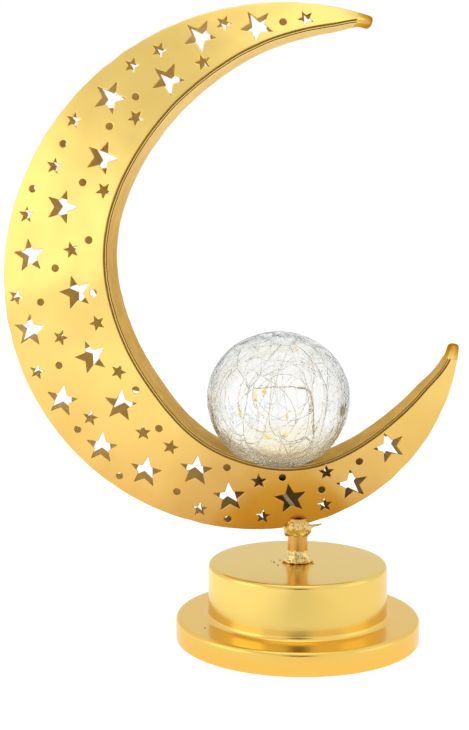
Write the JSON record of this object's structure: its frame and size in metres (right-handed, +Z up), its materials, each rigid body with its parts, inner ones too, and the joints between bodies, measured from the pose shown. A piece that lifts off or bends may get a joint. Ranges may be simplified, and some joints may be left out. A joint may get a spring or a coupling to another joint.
{
  "type": "crescent moon table lamp",
  "caption": "Star-cut metal crescent moon on a short stem and a stepped round base, with a clear crackle-glass globe of fairy lights sitting in its mouth",
  "frame": {"origin": "on the floor under the middle of the base", "axes": "+Z up, the front faces -Y, the crescent lies in the XZ plane with its mouth towards +X and up"},
  "size_m": [0.2193, 0.12, 0.3067],
  "materials": {
    "gold_lacquer": "satin",
    "weld_metal": "rough",
    "zinc": "satin",
    "nickel": "satin",
    "light_wire": "satin",
    "crackle_glass": "gloss",
    "black_plastic": "matte",
    "white_plastic": "matte",
    "pad_foam": "matte",
    "clear_rubber": "satin",
    "board_laminate": "satin",
    "chip_body": "matte",
    "resistor_body": "gloss",
    "cell_jacket": "gloss",
    "lead_jacket": "satin",
    "red_jacket": "satin"
  },
  "bodies": {
    "lamp": {"crescent_front_plate": "gold_lacquer", "crescent_back_plate": "gold_lacquer", "crescent_inner_strip": "gold_lacquer", "upper_tip_cap": "gold_lacquer", "lower_tip_cap": "gold_lacquer", "stem_tube": "gold_lacquer", "stem_bottom_weld": "weld_metal", "stem_top_weld": "weld_metal", "base_shell": "gold_lacquer", "bottom_cover": "black_plastic", "base_pad": "pad_foam", "cover_screw_1": "zinc", "cover_screw_2": "zinc", "cover_bracket": "zinc", "lock_washer": "zinc", "lock_nut": "zinc", "stem_bush": "black_plastic", "battery_box": "black_plastic", "battery_cell_1": "cell_jacket", "battery_cell_2": "cell_jacket", "contact_plate": "nickel", "contact_spring": "nickel", "contact_bridge": "nickel", "door_hinge_pin": "zinc", "circuit_board": "board_laminate", "board_screw_1": "zinc", "board_screw_2": "zinc", "timer_chip": "chip_body", "series_resistor": "resistor_body", "switch_body": "black_plastic", "positive_wire": "red_jacket", "negative_wire": "chip_body", "glass_globe": "crackle_glass", "neck_retainer": "clear_rubber", "neck_plug": "clear_rubber", "fairy_light_string": "light_wire", "light_lead": "lead_jacket"},
    "door": {"battery_door": "black_plastic"},
    "knob": {"switch_slider": "white_plastic"}
  },
  "joints": [
    {"name": "door_hinge", "type": "hinge", "parent": "lamp", "child": "door", "pos_m": [0.0308, 0, 0.0032], "axis": [0, -1, 0], "range_deg": [0, 95]},
    {"name": "switch_slide", "type": "slide", "parent": "lamp", "child": "knob", "axis": [0, 1, 0], "range_m": [0, 0.0025]}
  ]
}
